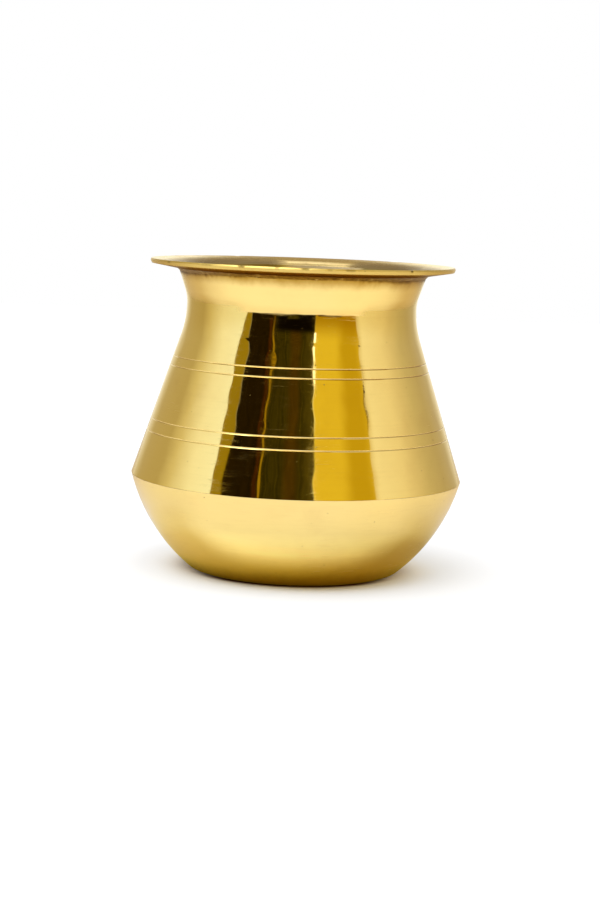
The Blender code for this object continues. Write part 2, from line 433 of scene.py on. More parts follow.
@dataclass(frozen=True)
class BrassFinish:
    """Brass as the lathe leaves it and use changes it.

    The roughness is that of the clean metal plus what lathe lines, scores, hairlines, pits and the
    smudges of handling add; stains lie over all of them.
    """

    name: str
    colour: Colour = (0.93, 0.71, 0.25)
    edge_tint: Colour = WHITE
    gloss: float = 0.055
    line_pitch: float = 0.55 * MM
    line_wander: float = 0.9
    line_dulling: float = 0.10
    line_tint: float = 0.2
    line_depth: float = 0.0011 * MM
    broad_pitches: float = 5.0
    broad_depths: float = 4.0
    smudged: Colour = (0.86, 0.63, 0.22)
    smudge_size: float = 14.0 * MM
    smudge_tint: float = 0.6
    smudge_dulling: float = 0.035
    score_pitch: float = 0.08 * MM
    score_wander: float = 3.0
    streak_pitch: float = 0.7 * MM
    streak_wander: float = 7.0
    score_patches: float = 12.0 * MM
    score_dulling: float = 0.23
    hairline_cells: float = 11.0 * MM
    hairline_squash: float = 1.7
    hairline_waves: float = 9.0 * MM
    hairline_sway: tuple[float, float, float] = (1.6, -1.1, 0.8)
    hairline_patches: float = 5.0 * MM
    hairline_dulling: float = 0.07
    scratch_depth: float = 0.0012 * MM
    pit_cells: float = 2.3 * MM
    pit_patches: float = 3.1 * MM
    pit_colour: Colour = (0.16, 0.09, 0.03)
    pit_tint: float = 0.8
    pit_dulling: float = 0.3
    pit_depths: float = 4.0

    def stains(self, place: TurnedPlace) -> list[Stain]:
        """List the stains of this surface, first one lowest; the plain finish has none."""
        return []

    def hairlines(self, place: TurnedPlace) -> Signal:
        """Draw sparse curved hairline scratches.

        A warped cell pattern's walls give thin lines, and cloudy noise keeps only some of them.

        Args:
            place: The surface's coordinates.

        Returns:
            1 on a scratch and 0 elsewhere.
        """
        graph = place.graph
        warp = place.clouds(self.hairline_waves)
        cells = graph.split(place.lumps(self.hairline_cells, self.hairline_squash))
        warped = graph.vector(*(axis + warp * sway for axis, sway in zip(cells, self.hairline_sway)))
        walls = graph.number("ShaderNodeTexVoronoi", {"feature": "DISTANCE_TO_EDGE"}, {
            "Vector": warped, "Scale": 1.0})
        kept = place.clouds(self.hairline_patches, 1.0).rise(0.56, 0.66)
        return (1.0 - walls.rise(0.002, 0.010)) * kept

    def scores(self, place: TurnedPlace) -> Signal:
        """Draw fine lathe scores: the crests of stretched noise, in short streaks, in patches.

        Args:
            place: The surface's coordinates.

        Returns:
            1 on a score and 0 elsewhere.
        """
        crests = place.graph.noise(place.rings(self.score_pitch, self.score_wander), 1.0).rise(0.54, 0.68)
        streaks = place.graph.noise(place.rings(self.streak_pitch, self.streak_wander), 2.0).rise(0.36, 0.68)
        return crests * streaks * place.clouds(self.score_patches).rise(0.25, 0.60)

    def pits(self, place: TurnedPlace) -> Signal:
        """Scatter small dark pits: the middles of cells, in the few cells that noise picks.

        Args:
            place: The surface's coordinates.

        Returns:
            1 in a pit and 0 elsewhere.
        """
        cells = place.graph.number("ShaderNodeTexVoronoi", {}, {
            "Vector": place.lumps(self.pit_cells), "Scale": 1.0})
        picked = place.clouds(self.pit_patches, 1.0).rise(0.60, 0.66)
        return (1.0 - cells.rise(0.04, 0.11)) * picked

    def material(self) -> bpy.types.Material:
        """Build the finish.

        Returns:
            The finished material.
        """
        material = bpy.data.materials.new(self.name)
        graph = Graph.of(material)
        place = TurnedPlace(graph)
        fine = graph.noise(place.rings(self.line_pitch, self.line_wander), 3.0, 0.6)
        broad = graph.noise(place.rings(self.line_pitch * self.broad_pitches, self.line_wander), 1.0)
        smudge = place.clouds(self.smudge_size, 3.0, 0.6).rise(0.45, 0.75)
        hairlines = self.hairlines(place)
        pits = self.pits(place)
        lines = fine.rise(0.45, 0.80)

        colour = graph.mix(smudge * self.smudge_tint + lines * self.line_tint, self.colour, self.smudged)
        colour = graph.mix(pits * self.pit_tint, colour, self.pit_colour)
        roughness = self.gloss + lines * self.line_dulling + smudge * self.smudge_dulling
        roughness = roughness + hairlines * self.hairline_dulling + pits * self.pit_dulling
        roughness = roughness + self.scores(place) * self.score_dulling
        for stain in self.stains(place):
            colour = graph.mix(stain.mask, colour, stain.colour)
            roughness = roughness + stain.mask * (stain.roughness - roughness)

        relief = fine * self.line_depth + broad * (self.line_depth * self.broad_depths)
        relief = relief - hairlines * self.scratch_depth - pits * (self.scratch_depth * self.pit_depths)
        bump = graph.node("ShaderNodeBump", {}, {"Strength": 1.0, "Distance": 1.0, "Height": relief})
        surface = graph.node("ShaderNodeBsdfPrincipled", {}, {
            "Base Color": colour, "Metallic": 1.0, "Roughness": roughness,
            "Specular Tint": self.edge_tint, "Normal": bump.outputs[0]})
        graph.node("ShaderNodeOutputMaterial", {}, {"Surface": surface.outputs[0]})
        return material


@dataclass(frozen=True)
class BodyFinish(BrassFinish):
    """The polished neck and cone: tarnish in the turned lines, darker on the right with painted shade, and
    burnt flux with painted shade under the rim.
    """

    groove_reach: float = 0.2 * MM
    haze_shade_low: float = 82.2 * MM
    haze_shade_high: float = 85.8 * MM
    burnt_shade_low: float = 85.1 * MM
    burnt_shade_high: float = 86.4 * MM
    lighter_left: float = 0.3 * MM
    darker_sides: float = 0.7 * MM

    def stains(self, place: TurnedPlace) -> list[Stain]:
        """Tarnish the grooves unevenly, darker on the right with painted shade, and fade burnt flux with
        painted shade down from the rim with a ragged edge, less on the left and more at the sides.

        Args:
            place: The surface's coordinates.

        Returns:
            The stains.
        """
        in_grooves = 0.0
        for height in SIZES.groove_heights:
            in_grooves = place.height.near(height, self.groove_reach) + in_grooves
        # Tarnish in the grooves, with painted shade that darkens them on the right.
        groove_tarnish_and_shade = place.clouds(7.0 * MM).rise(0.15, 0.6) * 0.25 + place.across.rise(0.10, 0.30) * 0.6
        ragged = place.uneven(place.height, amount=1.4 * MM, size=6.0 * MM, detail=2.0, squash=0.5)
        ragged = place.uneven(ragged, amount=0.9 * MM, size=1.1 * MM, roughness=0.6, squash=0.5)
        # Burnt flux and painted shade under the rim: lighter on the left, darker at the sides.
        lighter = (1.0 - place.across.rise(-0.9, -0.3)) * self.lighter_left
        haze_and_shade = (ragged - lighter).rise(self.haze_shade_low, self.haze_shade_high)
        darker = abs(place.across).rise(0.35, 0.8) * self.darker_sides
        burnt_flux_and_shade = (ragged + darker).rise(self.burnt_shade_low, self.burnt_shade_high)
        return [
            Stain(in_grooves * groove_tarnish_and_shade, (0.30, 0.16, 0.03), 0.22),
            Stain(haze_and_shade * 0.95, (0.41, 0.225, 0.020), 0.20),
            Stain(burnt_flux_and_shade * 0.95, (0.11, 0.045, 0.004), 0.40),
        ]


@dataclass(frozen=True)
class BowlFinish(BrassFinish):
    """The polished bowl: its foot is scuffed and dulled where it stands, and darkened by painted shade from
    the floor.
    """

    full_scuff_shade_height: float = 0.8 * MM
    scuff_shade_height: float = 5.5 * MM

    def stains(self, place: TurnedPlace) -> list[Stain]:
        """Dull the lowest few millimetres and darken them with painted shade from the floor, with an uneven
        upper edge.

        Args:
            place: The surface's coordinates.

        Returns:
            The stains.
        """
        ragged = place.uneven(place.height, amount=1.8 * MM, size=3.0 * MM, squash=0.4)
        scuffed_and_shaded = (1.0 - ragged.rise(self.full_scuff_shade_height, self.scuff_shade_height)) * 0.85
        # Painted shade by the floor darkens the colour; scuffing dulls the gloss.
        return [Stain(scuffed_and_shaded, (0.60, 0.37, 0.05), 0.20)]


@dataclass(frozen=True)
class RimFinish(BrassFinish):
    """The rim's top: greyer than the body, and tarnished towards the mouth."""

    tarnish_radius: float = 38.0 * MM
    edge_radius: float = 42.8 * MM
    dark_radius: float = 36.0 * MM
    dark_edge: float = 39.5 * MM

    def stains(self, place: TurnedPlace) -> list[Stain]:
        """Cloud the rim with handling, and tarnish it towards the mouth all round but for one patch.

        Args:
            place: The surface's coordinates.

        Returns:
            The stains.
        """
        clouds = place.clouds(6.0 * MM, 4.0, 0.6)
        ragged = place.uneven(place.radius, amount=2.4 * MM, size=2.2 * MM)
        inward = 1.0 - ragged.rise(self.tarnish_radius, self.edge_radius)
        innermost = 1.0 - ragged.rise(self.dark_radius, self.dark_edge)
        tarnished = 1.0 - place.back_patch(-0.20, 0.40, clouds)
        return [
            Stain(clouds.rise(0.5, 0.72) * 0.5, (0.62, 0.47, 0.20), 0.24),
            Stain(tarnished * inward * clouds.rise(0.05, 0.40) * 0.9, (0.27, 0.165, 0.043), 0.26),
            Stain(tarnished * innermost * 0.6, (0.13, 0.08, 0.022), 0.30),
        ]


@dataclass(frozen=True)
class EdgeFinish(BrassFinish):
    """The rim's worn edge, with dirt left in its nicks."""

    dirt: Colour = (0.085, 0.045, 0.006)
    dirt_drop: float = 0.40 * MM
    dirt_reach: float = 0.40 * MM
    full_depth: float = 0.20 * MM
    full_widths: float = 0.6
    clear_widths: float = 1.2

    def stains(self, place: TurnedPlace) -> list[Stain]:
        """Darken a ragged spot in each nick, the more the deeper the nick, by the way round to it.

        Args:
            place: The surface's coordinates.

        Returns:
            The stains.
        """
        ragged = place.uneven(place.height, amount=0.4 * MM, size=0.6 * MM, detail=2.0)
        level = ragged.near(SIZES.height - self.dirt_drop, self.dirt_reach)
        spots = []
        for nick in NICKS:
            away_x = place.across - math.sin(math.radians(nick.degrees))
            away_y = place.depth + math.cos(math.radians(nick.degrees))
            away = (away_x * away_x + away_y * away_y) ** 0.5 * SIZES.rim_radius
            clear = away.rise(self.full_widths * nick.width, self.clear_widths * nick.width)
            spot = (1.0 - clear) * level
            spots.append(Stain(spot * min(nick.depth / self.full_depth, 1.0), self.dirt, 0.45))
        return spots


@dataclass(frozen=True)
class BurntShadedFinish(BrassFinish):
    """The underside of the brazed rim: burnt flux and painted shade from the neck outwards, thinning to the
    edge.
    """

    burnt_shade_radius: float = 40.5 * MM
    burnt_shade_end: float = 43.6 * MM

    def stains(self, place: TurnedPlace) -> list[Stain]:
        """Darken all but the outermost part with burnt flux and painted shade; that part is only browned.

        Args:
            place: The surface's coordinates.

        Returns:
            The stains.
        """
        ragged = place.uneven(place.radius, amount=3.0 * MM, size=2.0 * MM)
        burnt_flux_and_shade = 1.0 - ragged.rise(self.burnt_shade_radius, self.burnt_shade_end)
        # Burnt flux with painted shade under the rim, darkest at the neck.
        return [
            Stain(burnt_flux_and_shade * 0.3 + 0.6, (0.30, 0.16, 0.020), 0.25),
            Stain(burnt_flux_and_shade * 0.9, (0.13, 0.065, 0.006), 0.35),
        ]


@dataclass(frozen=True)
class InsideFinish(BrassFinish):
    """The unpolished inside: turned, tarnished, and marked by standing water."""

    water_line: float = 52.0 * MM
    water_soft: float = 2.0 * MM
    water_drift: float = 3.0 * MM
    lime_reach: float = 1.2 * MM
    smoke_low: float = 78.0 * MM
    smoke_high: float = 85.0 * MM

    def stains(self, place: TurnedPlace) -> list[Stain]:
        """Brown the wall in clouds, more below an old water line that left a pale rim of lime.

        Brazing smoke darkens the mouth all round but for one patch, which a pale film dulls.

        Args:
            place: The surface's coordinates.

        Returns:
            The stains.
        """
        clouds = place.clouds(10.0 * MM, 4.0, 0.6)
        drift = place.height + (clouds - 0.5) * self.water_drift
        below = 1.0 - drift.rise(self.water_line - self.water_soft, self.water_line)
        spared = place.back_patch(-0.16, 0.46, clouds)
        mouth = drift.rise(self.smoke_low, self.smoke_high)
        return [
            Stain(clouds.rise(0.4, 0.7) * 0.6, (0.50, 0.34, 0.13), 0.42),
            Stain(below * 0.4, (0.36, 0.24, 0.10), 0.48),
            Stain(drift.near(self.water_line, self.lime_reach) * 0.35, (0.72, 0.66, 0.52), 0.55),
            Stain(mouth * (1.0 - spared) * 0.85, (0.17, 0.12, 0.045), 0.40),
            Stain(spared * mouth * 0.7, (0.72, 0.58, 0.38), 0.55),
        ]


@dataclass(frozen=True)
class FootFinish(BrassFinish):
    """The dished underside: tarnished, with the ring that it stands on rubbed bright."""

    ring_inner: float = 26.6 * MM
    ring_outer: float = 29.6 * MM
    ring_soft: float = 0.4 * MM

    def stains(self, place: TurnedPlace) -> list[Stain]:
        """Tarnish all but the contact ring, which is rubbed pale and scuffed.

        Args:
            place: The surface's coordinates.

        Returns:
            The stains.
        """
        clouds = place.clouds(8.0 * MM, 4.0, 0.6)
        ring = place.radius.between(self.ring_inner, self.ring_outer, self.ring_soft)
        return [
            Stain((1.0 - ring) * clouds.rise(0.25, 0.75) * 0.75, (0.44, 0.29, 0.11), 0.42),
            Stain(ring * clouds.rise(0.3, 0.6) * 0.5, (0.88, 0.70, 0.34), 0.32),
        ]


@dataclass(frozen=True)
class BrazeFinish(BrassFinish):
    """Spelter with burnt flux on it, dull brown and uneven."""

    def stains(self, place: TurnedPlace) -> list[Stain]:
        """Leave the brass showing in a few places only.

        Args:
            place: The surface's coordinates.

        Returns:
            The stains.
        """
        soot = place.clouds(1.3 * MM, 4.0, 0.65)
        return [
            Stain(soot.rise(0.15, 0.45), (0.24, 0.125, 0.014), 0.40),
            Stain(soot.rise(0.5, 0.75), (0.11, 0.05, 0.005), 0.55),
        ]


@dataclass(frozen=True)
class Corner:
    """A corner of a section, its rounding, and the finish and point spacing of the side after it."""

    radius: float
    height: float
    rounding: float = 0.05 * MM
    finish: int = 0
    spacing: float = 1.0 * MM


@dataclass(frozen=True)
class Section:
    """Points of a turned section with their outward directions, in order, solid on the right."""

    places: np.ndarray
    normals: np.ndarray
    finishes: np.ndarray
    closed: bool

    @property
    def poles(self) -> np.ndarray:
        """Mark the points on the axis."""
        return self.places[:, 0] < NO_LENGTH

    @classmethod
    def rounded(cls, corners: Sequence[Corner], closed: bool = True) -> "Section":
        """Round a polygon's corners with tangent arcs.

        An arc begins rounding times tan(turn / 2) before its corner and its points turn evenly from
        the heading of one side to that of the next; the straight rest of each side is divided
        evenly. A point's outward direction is its heading turned a quarter turn to the left.

        Args:
            corners: The polygon, down its outer side and up its inner side.
            closed: Whether the last corner joins the first; otherwise both lie on the axis.

        Returns:
            The rounded section.
        """
        spots = np.array([(corner.radius, corner.height) for corner in corners])
        sides = np.roll(spots, -1, axis=0) - spots
        headings = np.arctan2(sides[:, 1], sides[:, 0])
        lengths = np.hypot(sides[:, 0], sides[:, 1])
        turns = (headings - np.roll(headings, 1) + math.pi) % FULL_TURN - math.pi
        rounding = np.array([corner.rounding for corner in corners])
        if not closed:
            turns[0] = turns[-1] = 0.0
            headings[-1] = headings[-2]
        setback = rounding * np.tan(np.abs(turns) / 2.0)
        places, normals, finishes = [], [], []
        for index, corner in enumerate(corners):
            before = headings[index] - turns[index]
            swept = abs(turns[index])
            steps = max(1, math.ceil(swept / ARC_STEP), math.ceil(swept * corner.rounding / corner.spacing))
            heading = before + turns[index] * np.linspace(0.0, 1.0, steps + 1)
            bend = corner.rounding * np.sign(turns[index])
            start = spots[index] - setback[index] * np.array((math.cos(before), math.sin(before)))
            centre = start + bend * np.array((-math.sin(before), math.cos(before)))
            arc = centre + bend * np.stack((np.sin(heading), -np.cos(heading)), axis=1)
            run = lengths[index] - setback[index] - setback[(index + 1) % len(corners)]
            last = not closed and index == len(corners) - 1
            pieces = 1 if last else max(1, math.ceil(run / corner.spacing))
            reach = run * np.arange(1, pieces)[:, None] / pieces
            straight = arc[-1] + reach * np.array((math.cos(headings[index]), math.sin(headings[index])))
            heading = np.concatenate((heading, np.full(pieces - 1, headings[index])))
            places.append(np.concatenate((arc, straight)))
            normals.append(np.stack((-np.sin(heading), np.cos(heading)), axis=1))
            finishes.append(np.full(len(heading), corner.finish))
        joined = np.concatenate(places)
        apart = np.linalg.norm(joined - np.roll(joined, 1, axis=0), axis=1) > NO_LENGTH
        return cls(joined[apart], np.concatenate(normals)[apart], np.concatenate(finishes)[apart], closed)


def turned_surface(section: Section, segments: int, relief: Relief) -> tuple[np.ndarray, np.ndarray]:
    """Turn a section's points about the axis and work out exact normals.

    A point is (r cos a, r sin a, z) of its section point (r, z) and angle a, moved out along its
    normal by the relief h. The normal leans back against the relief's slopes dh/ds along the section
    and dh/da / r round the axis; at a pole it is upright.

    Args:
        section: The section to turn.
        segments: Number of steps round the axis.
        relief: Gives h from the angle, radius and height.

    Returns:
        Points and normals, each a row for every point of the section.
    """
    angle = np.arange(segments) * (FULL_TURN / segments)
    radius = section.places[:, 0][:, None]
    height = section.places[:, 1][:, None]
    lift = relief(angle[None, :], radius, height)
    steps = np.linalg.norm(np.diff(section.places, axis=0), axis=1)
    slope_along = np.gradient(lift, np.concatenate(((0.0,), np.cumsum(steps))), axis=0)
    slope_round = (np.roll(lift, -1, axis=1) - np.roll(lift, 1, axis=1)) / (2.0 * FULL_TURN / segments)
    slope_round = slope_round / np.maximum(radius, MM)
    out_r = section.normals[:, 0][:, None]
    out_z = section.normals[:, 1][:, None]
    turned = np.stack(np.broadcast_arrays(radius + lift * out_r, height + lift * out_z), axis=2)
    lean_r = out_r - slope_along * out_z
    lean_z = out_z + slope_along * out_r
    cosine, sine = np.cos(angle)[None, :], np.sin(angle)[None, :]
    points = np.stack((turned[..., 0] * cosine, turned[..., 0] * sine, turned[..., 1]), axis=2)
    normals = np.stack((lean_r * cosine + slope_round * sine, lean_r * sine - slope_round * cosine,
                        lean_z), axis=2)
    normals = normals / np.linalg.norm(normals, axis=2, keepdims=True)
    normals[section.poles, :, :2] = 0.0
    return points, normals


def turned_faces(section: Section, segments: int) -> tuple[np.ndarray, list[list[int]], np.ndarray]:
    """Join the rows of a turned section with quads, and with triangles round a pole.

    Args:
        section: The section to turn.
        segments: Number of steps round the axis.

    Returns:
        Numbers of the points in use, the faces by places among these, and the faces' finishes.
    """
    rows = np.arange(len(section.places))
    index = rows[:, None] * segments + np.arange(segments)[None, :]
    index[section.poles] = index[section.poles][:, :1]
    upper = index if section.closed else index[:-1]
    lower = np.roll(index, -1, axis=0) if section.closed else index[1:]
    quads = np.stack((upper, lower, np.roll(lower, -1, axis=1), np.roll(upper, -1, axis=1)), axis=2)
    finishes = np.repeat(section.finishes[:len(upper)], segments)
    used, packed = np.unique(quads, return_inverse=True)
    faces = packed.reshape(-1, 4)
    from_pole = faces[:, 0] == faces[:, 3]
    to_pole = faces[:, 1] == faces[:, 2]
    whole = ~(from_pole | to_pole)
    polygons = faces[whole].tolist() + faces[from_pole][:, :3].tolist()
    polygons = polygons + faces[to_pole][:, [0, 1, 3]].tolist()
    return used, polygons, np.concatenate((finishes[whole], finishes[from_pole], finishes[to_pole]))


def turned_mesh(name: str, section: Section, segments: int, relief: Relief) -> bpy.types.Mesh:
    """Turn a section about the axis into a closed mesh.

    Args:
        name: The mesh's name.
        section: The section to turn.
        segments: Number of steps round the axis.
        relief: How far the surface is moved out, from the angle, radius and height.

    Returns:
        The mesh, with the section's finish numbers as material indices.
    """
    points, normals = turned_surface(section, segments, relief)
    used, polygons, finishes = turned_faces(section, segments)
    mesh = bpy.data.meshes.new(name)
    mesh.from_pydata(points.reshape(-1, 3)[used].tolist(), [], polygons)
    mesh.polygons.foreach_set("material_index", finishes.astype(np.int32))
    mesh.polygons.foreach_set("use_smooth", np.ones(len(finishes), dtype=bool))
    mesh.normals_split_custom_set_from_vertices(normals.reshape(-1, 3)[used].tolist())
    mesh.validate()
    return mesh


def from_front(angle: np.ndarray, degrees: float) -> np.ndarray:
    """Turn angles into angles from a place in degrees right of the front, up to half a turn either way."""
    return (angle - math.radians(FRONT_DEGREES + degrees) + math.pi) % FULL_TURN - math.pi


@dataclass(frozen=True)
class Flat:
    """A shallow facet that polishing left, in degrees right of the front."""

    degrees: float
    height: float
    half_width: float
    half_height: float
    depth: float


@dataclass(frozen=True)
class HandPolish:
    """The slight unevenness that hand polishing leaves: oblique waves and a few flats, always inwards."""

    depth: float = 0.042 * MM
    lobes: tuple[int, ...] = (13, -22, 31, -38, 53)
    pitches: tuple[float, ...] = (29.0 * MM, 17.0 * MM, -12.0 * MM, 9.5 * MM, 7.0 * MM)
    phases: tuple[float, ...] = (0.7, 2.9, 4.4, 1.6, 5.3)
    foot_fade: float = 12.0 * MM
    neck_low: float = 66.0 * MM
    neck_high: float = 76.0 * MM
    neck_share: float = 0.45
    flats: tuple[Flat, ...] = ()

    def __call__(self, angle: np.ndarray, radius: np.ndarray, height: np.ndarray) -> np.ndarray:
        """Add the waves up and take the flats out.

        Each wave is sin(lobes * angle + height / pitch * full turn + phase), and its size falls with
        the number of lobes, so that all bend the surface about as much. A flat is a shallow facet: one
        minus the squared distances from its middle over its half width and height, while above 0.

        Args:
            angle: Way round the axis.
            radius: Distance from the axis.
            height: Height over the floor.

        Returns:
            The relief, never above 0; the waves fade out near the foot and are smaller at the neck.
        """
        total = np.zeros(np.broadcast_shapes(angle.shape, height.shape))
        sizes = [1.0 / abs(count) for count in self.lobes]
        for count, pitch, phase, size in zip(self.lobes, self.pitches, self.phases, sizes):
            total = total + size * np.sin(count * angle + height * (FULL_TURN / pitch) + phase)
        fade = np.clip(height / self.foot_fade, 0.0, 1.0) ** 2
        fade = fade * np.interp(height, (self.neck_low, self.neck_high), (1.0, self.neck_share))
        relief = -0.5 * self.depth * fade * (1.0 + total / sum(sizes))
        for flat in self.flats:
            across = from_front(angle, flat.degrees) * radius / flat.half_width
            facet = 1.0 - across ** 2 - ((height - flat.height) / flat.half_height) ** 2
            relief = relief - flat.depth * np.maximum(facet, 0.0)
        return relief


UNEVEN = HandPolish(flats=(
    Flat(-12.5, 63.2 * MM, 1.8 * MM, 2.6 * MM, 0.0405 * MM),
    Flat(-13.2, 45.4 * MM, 1.0 * MM, 1.7 * MM, 0.010 * MM)))


@dataclass(frozen=True)
class RimWear:
    """Wear of the rim: its edge is rolled off and nicked, and its faces waver."""

    reach: float = 0.45 * MM
    roll_depth: float = 0.03 * MM
    roll_reach: float = 2.2 * MM
    waver: HandPolish = HandPolish(depth=0.04 * MM)

    def __call__(self, angle: np.ndarray, radius: np.ndarray, height: np.ndarray) -> np.ndarray:
        """Roll the top's outer edge off and take each nick out.

        The rolling off is half a bell that is deepest at the edge; a nick is a bell-shaped dent
        centred on the edge.

        Args:
            angle: Way round the axis.
            radius: Distance from the axis.
            height: Height over the floor.

        Returns:
            The relief, never above 0.
        """
        on_top = height > SIZES.rim_top(radius) - 0.5 * SIZES.rim_thickness
        rolled = self.roll_depth * np.exp(-((SIZES.rim_radius - radius) / self.roll_reach) ** 2)
        relief = self.waver(angle, radius, height) - on_top * rolled
        from_edge = np.hypot(radius - SIZES.rim_radius, height - (SIZES.height - SIZES.rim_break))
        bell = np.exp(-(from_edge / self.reach) ** 2)
        for nick in NICKS:
            away = from_front(angle, nick.degrees) * SIZES.rim_radius / nick.width
            relief = relief - nick.depth * bell * np.exp(-away ** 2)
        return relief


@dataclass(frozen=True)
class BrazeRunning:
    """Braze that ran unevenly: ripples of several sizes round the seam, in and out."""

    height: float = 0.08 * MM
    lobes: tuple[int, ...] = (7, 17, 29, 53, 83)
    phases: tuple[float, ...] = (0.3, 1.9, 5.1, 2.7, 4.0)
    sway: float = 0.4
    sway_lobes: int = 3

    def __call__(self, angle: np.ndarray, radius: np.ndarray, height: np.ndarray) -> np.ndarray:
        """Add ripples sin(lobes * angle + phase) whose size falls as one over the root of the lobes.

        A slow sway of their phase keeps them from being even.

        Args:
            angle: Way round the axis.
            radius: Distance from the axis.
            height: Height over the floor.

        Returns:
            The relief, about 0 on average.
        """
        total = np.zeros(np.broadcast_shapes(angle.shape, height.shape))
        sway = self.sway * np.sin(self.sway_lobes * angle)
        for count, phase in zip(self.lobes, self.phases):
            total = total + np.sin(count * angle + phase + sway) / math.sqrt(count)
        return self.height * total


@dataclass
class TurnedPiece:
    """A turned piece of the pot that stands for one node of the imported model."""

    node: str
    slot: Slot
    finishes: tuple[BrassFinish, ...]
    relief: Relief = HandPolish()
    segments: int = 360

    def section(self) -> Section:
        """Work out the piece's section."""
        raise NotImplementedError

    def build(self) -> bpy.types.Object:
        """Turn the section into an object that rides on the pot.

        Returns:
            The new object.
        """
        name = self.node + "_dressed"
        mesh = turned_mesh(name, self.section(), self.segments, self.relief)
        piece = bpy.data.objects.new(name, mesh)
        bpy.context.scene.collection.objects.link(piece)
        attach(piece, "root")
        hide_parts(self.node)
        self.dress(piece)
        LOG.info("%s: %d faces", name, len(mesh.polygons))
        return piece

    def dress(self, piece: bpy.types.Object) -> None:
        """Give the piece its finishes, in the order of its section's finish numbers."""
        for finish in self.finishes:
            piece.data.materials.append(finish.material())


@dataclass
class UpperBody(TurnedPiece):
    """The spun wall from the shoulder to the mouth, with two pairs of turned lines."""

    groove_width: float = 0.44 * MM
    groove_depth: float = 0.135 * MM
    groove_lip: float = 0.06 * MM
    mouth_round: float = 0.06 * MM
    mouth_spacing: float = 0.4 * MM
    seam_round: float = 0.01 * MM
    shoulder_round: float = 0.004 * MM
    lap_round: float = 0.1 * MM
    inside_spacing: float = 2.5 * MM

    OUTSIDE, INSIDE, TOP = range(3)

    def groove(self, height: float) -> list[Corner]:
        """Give the corners of one turned line, a rounded V cut square into the cone.

        Args:
            height: Height of its middle.

        Returns:
            Its upper lip, bottom and lower lip.
        """
        half = self.groove_width / 2.0
        sine, cosine = math.sin(SIZES.cone_tilt), math.cos(SIZES.cone_tilt)
        middle = SIZES.cone_radius(height)
        upper = Corner(middle - half * sine, height + half * cosine, self.groove_lip)
        bottom = Corner(middle - self.groove_depth * cosine, height - self.groove_depth * sine,
                        self.groove_lip)
        lower = Corner(middle + half * sine, height - half * cosine, self.groove_lip)
        return [upper, bottom, lower]

    def section(self) -> Section:
        """Go down the outside from the mouth to the shoulder and up the inside.

        Returns:
            The section; its top is dressed flush with the rim.
        """
        wall, shoulder = SIZES.wall, SIZES.shoulder_height
        inside = partial(Corner, finish=self.INSIDE, spacing=self.inside_spacing)
        outer_fall, inner_fall = (
            float(SIZES.rim_hollow(SIZES.flare_meets_rim(inset, 0.0)[0])) for inset in (0.0, wall))
        corners = [
            Corner(*SIZES.flare_meets_rim(0.0, outer_fall), self.seam_round, self.OUTSIDE),
            Corner(SIZES.waist_radius, SIZES.flare_corner(), SIZES.mouth_curve, self.OUTSIDE),
            Corner(SIZES.waist_radius, SIZES.cone_corner(), SIZES.neck_curve, self.OUTSIDE),
        ]
        for height in SIZES.groove_heights:
            corners.extend(self.groove(height))
        corners.extend((
            inside(SIZES.shoulder_radius, shoulder, self.shoulder_round),
            inside(SIZES.cone_radius(shoulder, wall), shoulder, self.lap_round),
            inside(SIZES.waist_radius - wall, SIZES.cone_corner(wall), SIZES.neck_curve + wall),
            inside(SIZES.waist_radius - wall, SIZES.flare_corner(wall), SIZES.mouth_curve + wall),
            Corner(*SIZES.flare_meets_rim(wall, inner_fall), self.mouth_round, self.TOP, self.mouth_spacing),
        ))
        return Section.rounded(corners)


